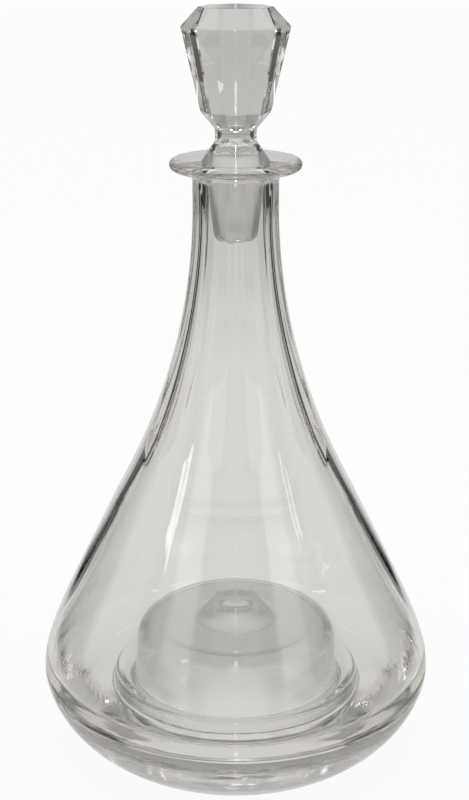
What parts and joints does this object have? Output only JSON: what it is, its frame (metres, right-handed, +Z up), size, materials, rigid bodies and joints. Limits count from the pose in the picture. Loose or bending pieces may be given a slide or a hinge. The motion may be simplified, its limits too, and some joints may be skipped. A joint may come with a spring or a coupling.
{
  "type": "decanter",
  "caption": "Clear glass decanter with a bell-shaped body, six flutes down the neck, flared lip, stepped hollow well in a thick base and a loose faceted stopper.",
  "frame": {"origin": "on the axis of the body, on the plane of the flat foot ring that the decanter stands on", "axes": "+Z up along the axis of the body, from the foot to the stopper; the front flute of the neck faces -Y, and +X is to the right seen from the front"},
  "size_m": [0.1586, 0.1586, 0.3],
  "materials": {
    "body_glass": "clear colourless glass, fire polished, with polished neck flutes; the hollow underneath is satin",
    "stopper_glass": "clear colourless glass, cut and polished head, fine ground peg"
  },
  "bodies": {
    "body": {"decanter_body": "body_glass"},
    "stopper": {"stopper": "stopper_glass"}
  },
  "joints": [
    {"name": "stopper_lift", "type": "slide", "parent": "body", "child": "stopper", "axis": [0, 0, 1], "range_m": [0, 0.06]}
  ]
}
